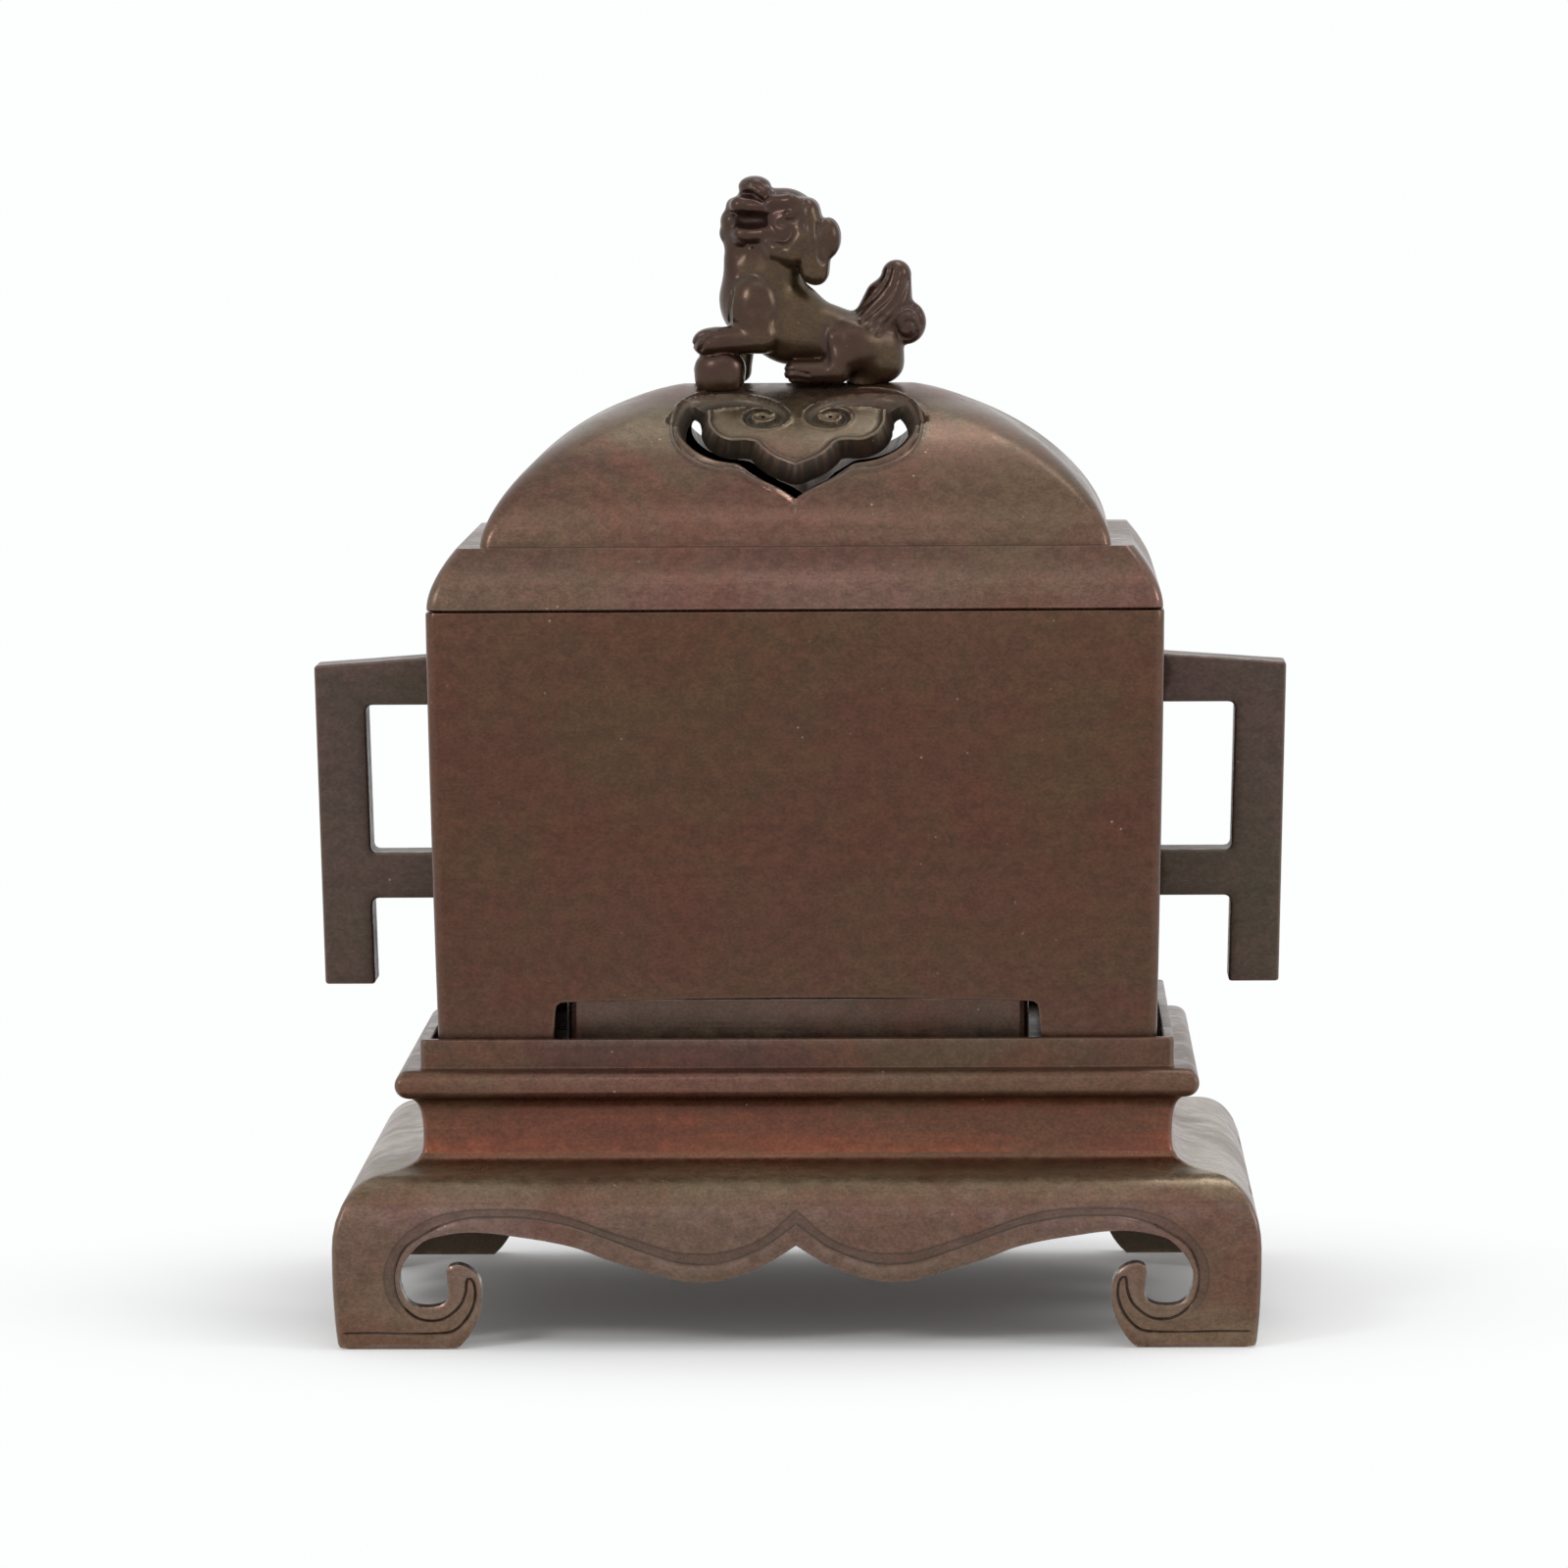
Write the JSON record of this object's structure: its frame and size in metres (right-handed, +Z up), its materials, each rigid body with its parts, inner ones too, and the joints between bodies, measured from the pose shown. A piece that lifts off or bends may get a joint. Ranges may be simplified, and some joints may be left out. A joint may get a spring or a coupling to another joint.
{
  "type": "incense holder",
  "caption": "Rectangular bronze censer with a domed, pierced lid, a lion finial and two angular side handles, on a footed stand.",
  "frame": {"origin": "on the floor, under the middle of the object", "axes": "+Z up, +X to the right seen from the front, +Y from the front to the back"},
  "size_m": [0.2132, 0.1486, 0.248],
  "materials": {
    "stand_bronze": "satin cast bronze with a mottled red-brown and olive patina",
    "vessel_bronze": "satin cast bronze with a mottled red-brown and olive patina",
    "lid_bronze": "satin cast bronze with a pinkish brown to olive grey patina",
    "lion_bronze": "semi-gloss dark purple-brown patinated cast bronze",
    "handle_bronze": "satin dark brown patinated cast bronze",
    "liner_copper": "formed copper sheet, lightly tarnished",
    "fastener_brass": "plain turned brass"
  },
  "bodies": {
    "stand": {"stand_frame": "stand_bronze", "seat_plate": "stand_bronze"},
    "vessel": {"vessel_body": "vessel_bronze", "vessel_floor": "vessel_bronze", "handle_left": "handle_bronze", "handle_right": "handle_bronze", "handle_screw_left_upper": "fastener_brass", "handle_washer_left_upper": "fastener_brass", "handle_screw_left_lower": "fastener_brass", "handle_washer_left_lower": "fastener_brass", "handle_screw_right_upper": "fastener_brass", "handle_washer_right_upper": "fastener_brass", "handle_screw_right_lower": "fastener_brass", "handle_washer_right_lower": "fastener_brass"},
    "liner": {"ash_liner": "liner_copper"},
    "lid": {"lid_dome": "lid_bronze", "lid_collar": "lid_bronze", "lion_finial": "lion_bronze", "finial_screw_ball": "fastener_brass", "finial_washer_ball": "fastener_brass", "finial_screw_rump": "fastener_brass", "finial_washer_rump": "fastener_brass"}
  },
  "joints": [
    {"name": "vessel_lift", "type": "slide", "parent": "stand", "child": "vessel", "axis": [0, 0, 1], "range_m": [0, 0.03]},
    {"name": "lid_lift", "type": "slide", "parent": "vessel", "child": "lid", "axis": [0, 0, 1], "range_m": [0, 0.125]},
    {"name": "liner_lift", "type": "slide", "parent": "vessel", "child": "liner", "axis": [0, 0, 1], "range_m": [0, 0.05]}
  ],
  "couplings": [
    {"joint": "liner_lift", "follows": "lid_lift", "ratio": 0.4}
  ]
}
